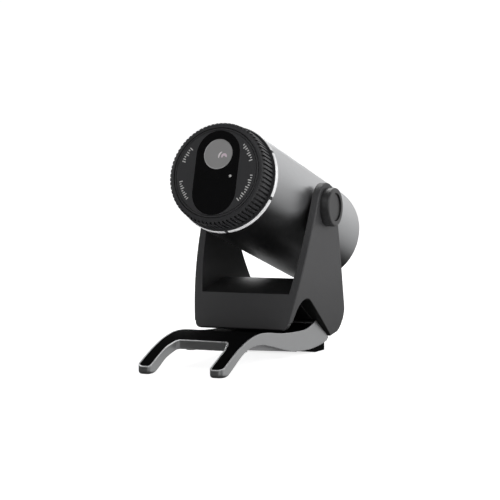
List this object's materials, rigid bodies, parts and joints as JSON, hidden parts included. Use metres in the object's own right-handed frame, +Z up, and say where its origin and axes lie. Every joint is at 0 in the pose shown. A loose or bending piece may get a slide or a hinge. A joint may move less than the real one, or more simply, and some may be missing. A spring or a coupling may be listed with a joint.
{
  "type": "barrel webcam on a yoke and fork stand",
  "caption": "Barrel-shaped webcam with a knurled privacy ring, tilting in a two-armed yoke whose fold-down fork is both desk stand and screen clip.",
  "frame": {"origin": "on the surface the fork stands on, under the middle of the object's box", "axes": "+Z up; the camera faces -Y, a little upwards; +X is to the right of someone looking along +Y"},
  "size_m": [0.0488, 0.1136, 0.0788],
  "materials": {
    "barrel_aluminium": "fine bead-blasted silver anodising",
    "polished_trim": "polished bright chamfer",
    "bezel_black": "fine satin moulded black",
    "ring_black": "satin black with moulded ribs",
    "window_gloss": "back-printed gloss black",
    "lens_glass": "clear cover with a grey coating",
    "coated_glass": "pink anti-reflection coating",
    "lens_black": "matt black thread and baffles",
    "inner_plastic": "plain moulded",
    "chip_black": "epoxy package",
    "board_green": "solder mask",
    "shield_steel": "plain tinned sheet",
    "steel": "turned steel",
    "led_white": "clear moulded light guide",
    "pad_rubber": "soft matt silicone",
    "yoke_black": "fine spark-eroded texture",
    "friction_fibre": "pressed fibre",
    "knob_black": "satin moulded",
    "fork_silver": "fine silver paint with a bright rim",
    "cover_grey": "mid grey moulded"
  },
  "bodies": {
    "yoke": {"yoke_frame": "yoke_black", "yoke_cover": "yoke_black", "cover_screws": "steel", "bezel_pad": "pad_rubber", "hinge_pin": "steel", "hinge_washers": "inner_plastic", "pivot_bush_left": "inner_plastic", "pivot_bush_right": "inner_plastic", "friction_washer_left": "friction_fibre", "friction_washer_right": "friction_fibre", "knob_cap_left": "knob_black", "knob_cap_right": "knob_black", "knob_disc_left": "knob_black", "knob_disc_right": "knob_black"},
    "fork": {"fork_frame": "fork_silver", "fork_pad": "pad_rubber", "fork_cover": "cover_grey", "fork_screws": "steel", "rear_foot": "pad_rubber"},
    "barrel": {"barrel_shell": "barrel_aluminium", "trim_ring": "polished_trim", "trim_spacer": "bezel_black", "front_bezel": "bezel_black", "window_panel": "window_gloss", "lens_window": "lens_glass", "lens_barrel": "lens_black", "lens_front_element": "coated_glass", "lens_rear_element": "coated_glass", "lens_holder": "inner_plastic", "image_sensor": "chip_black", "sensor_board": "board_green", "sensor_screws": "steel", "microphones": "shield_steel", "status_led": "led_white", "light_pipe": "led_white", "chassis": "inner_plastic", "main_board": "board_green", "board_screws": "steel", "processor": "chip_black", "shield_can": "shield_steel", "usb_socket": "shield_steel", "rear_cap": "bezel_black", "rear_gasket": "pad_rubber", "rear_screws": "steel", "trunnion_left": "steel", "trunnion_right": "steel", "pivot_screw_left": "steel", "pivot_screw_right": "steel", "spring_washer_left": "steel", "spring_washer_right": "steel"},
    "shutter_ring": {"grip_ring": "ring_black", "shutter_disc": "inner_plastic"}
  },
  "joints": [
    {"name": "barrel_tilt", "type": "hinge", "parent": "yoke", "child": "barrel", "pos_m": [0, 0.01323, 0.0506], "axis": [1, 0, 0], "range_deg": [-10, 34]},
    {"name": "ring_twist", "type": "hinge", "parent": "barrel", "child": "shutter_ring", "pos_m": [0, 0.01323, 0.0506], "axis": [0, -0.9627, 0.2706], "range_deg": [0, 60]},
    {"name": "fork_fold", "type": "hinge", "parent": "yoke", "child": "fork", "pos_m": [0, 0.03063, 0.007], "axis": [1, 0, 0], "range_deg": [0, 85]}
  ]
}
